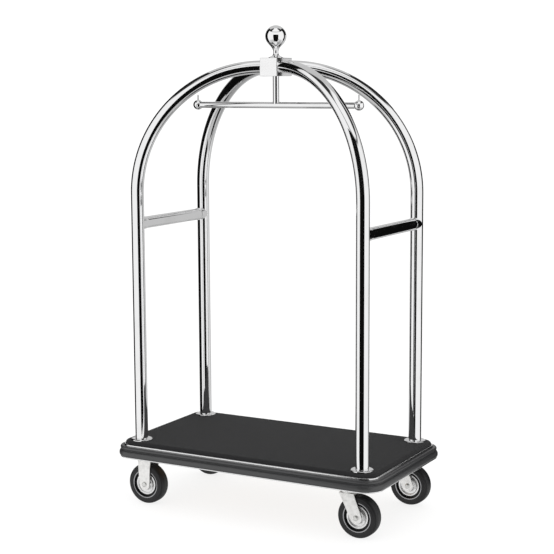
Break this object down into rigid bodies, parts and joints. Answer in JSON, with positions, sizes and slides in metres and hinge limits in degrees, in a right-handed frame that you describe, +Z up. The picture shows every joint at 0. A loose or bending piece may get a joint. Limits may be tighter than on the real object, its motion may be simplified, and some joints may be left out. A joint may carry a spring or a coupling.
{
  "type": "hotel luggage cart",
  "caption": "Birdcage luggage cart: carpeted deck with rubber bumper, bent tube posts meeting in a crown block, hanging bar and casters.",
  "frame": {"origin": "floor level, under the centre of the deck", "axes": "+X along the cart towards the swivel casters, -Y is the front side, +Z up"},
  "size_m": [1.164, 0.646, 1.8972],
  "materials": {
    "plywood": "plain birch plywood, sealed",
    "carpet": "short dense charcoal pile",
    "painted_steel": "black powder coat",
    "zinc": "bright zinc plate",
    "bumper_rubber": "moulded grey-black rubber, satin",
    "steel_trim": "satin stainless steel strip",
    "polished_steel": "mirror-polished stainless steel",
    "plain_steel": "turned steel, lightly oiled",
    "black_oxide": "black oxide",
    "pressed_zinc": "bright plated pressed steel",
    "tyre": "black rubber, matt",
    "rim_steel": "pressed steel disc, bright"
  },
  "bodies": {
    "cart": {"deck_board": "plywood", "deck_carpet": "carpet", "deck_frame": "painted_steel", "deck_crossmembers": "painted_steel", "deck_screws": "zinc", "bumper": "bumper_rubber", "edge_trim_top": "steel_trim", "edge_trim_bottom": "steel_trim", "post_front_left": "polished_steel", "post_rear_left": "polished_steel", "post_front_right": "polished_steel", "post_rear_right": "polished_steel", "post_flange_front_left": "polished_steel", "post_flange_rear_left": "polished_steel", "post_flange_front_right": "polished_steel", "post_flange_rear_right": "polished_steel", "post_foot_plugs": "plain_steel", "post_bolts": "zinc", "post_washers": "zinc", "side_rail_left": "polished_steel", "side_rail_right": "polished_steel", "side_rail_collars": "polished_steel", "crown_hub": "polished_steel", "crown_grub_screws": "black_oxide", "finial_neck": "polished_steel", "finial_ball": "polished_steel", "finial_stud": "zinc", "drop_rod": "polished_steel", "hang_bar": "polished_steel", "hang_bar_end_balls": "polished_steel", "hang_bar_pins": "polished_steel", "fixed_fork_front": "pressed_zinc", "fixed_fork_rear": "pressed_zinc", "fixed_axles": "zinc", "fixed_axle_nuts": "zinc", "swivel_top_plate_front": "pressed_zinc", "swivel_top_plate_rear": "pressed_zinc", "king_pins": "zinc", "swivel_bearing_balls": "plain_steel", "caster_bolts": "zinc", "caster_nuts": "zinc"},
    "swivel_front": {"swivel_fork_front": "pressed_zinc", "swivel_axle_front": "zinc", "swivel_axle_nut_front": "zinc"},
    "swivel_rear": {"swivel_fork_rear": "pressed_zinc", "swivel_axle_rear": "zinc", "swivel_axle_nut_rear": "zinc"},
    "wheel_front_left": {"tyre_front_left": "tyre", "rim_front_left": "rim_steel", "bearing_front_left": "plain_steel"},
    "wheel_rear_left": {"tyre_rear_left": "tyre", "rim_rear_left": "rim_steel", "bearing_rear_left": "plain_steel"},
    "wheel_front_right": {"tyre_front_right": "tyre", "rim_front_right": "rim_steel", "bearing_front_right": "plain_steel"},
    "wheel_rear_right": {"tyre_rear_right": "tyre", "rim_rear_right": "rim_steel", "bearing_rear_right": "plain_steel"}
  },
  "joints": [
    {"name": "swivel_front", "type": "hinge", "parent": "cart", "child": "swivel_front", "pos_m": [0.437, -0.237, 0.172], "axis": [0, 0, 1], "continuous": true},
    {"name": "swivel_rear", "type": "hinge", "parent": "cart", "child": "swivel_rear", "pos_m": [0.437, 0.237, 0.172], "axis": [0, 0, 1], "continuous": true},
    {"name": "wheel_front_left_spin", "type": "hinge", "parent": "cart", "child": "wheel_front_left", "pos_m": [-0.465, -0.237, 0.0815], "axis": [0, 1, 0], "continuous": true},
    {"name": "wheel_front_right_spin", "type": "hinge", "parent": "swivel_front", "child": "wheel_front_right", "pos_m": [0.477, -0.237, 0.0815], "axis": [0, 1, 0], "continuous": true},
    {"name": "wheel_rear_left_spin", "type": "hinge", "parent": "cart", "child": "wheel_rear_left", "pos_m": [-0.465, 0.237, 0.0815], "axis": [0, 1, 0], "continuous": true},
    {"name": "wheel_rear_right_spin", "type": "hinge", "parent": "swivel_rear", "child": "wheel_rear_right", "pos_m": [0.477, 0.237, 0.0815], "axis": [0, 1, 0], "continuous": true}
  ]
}
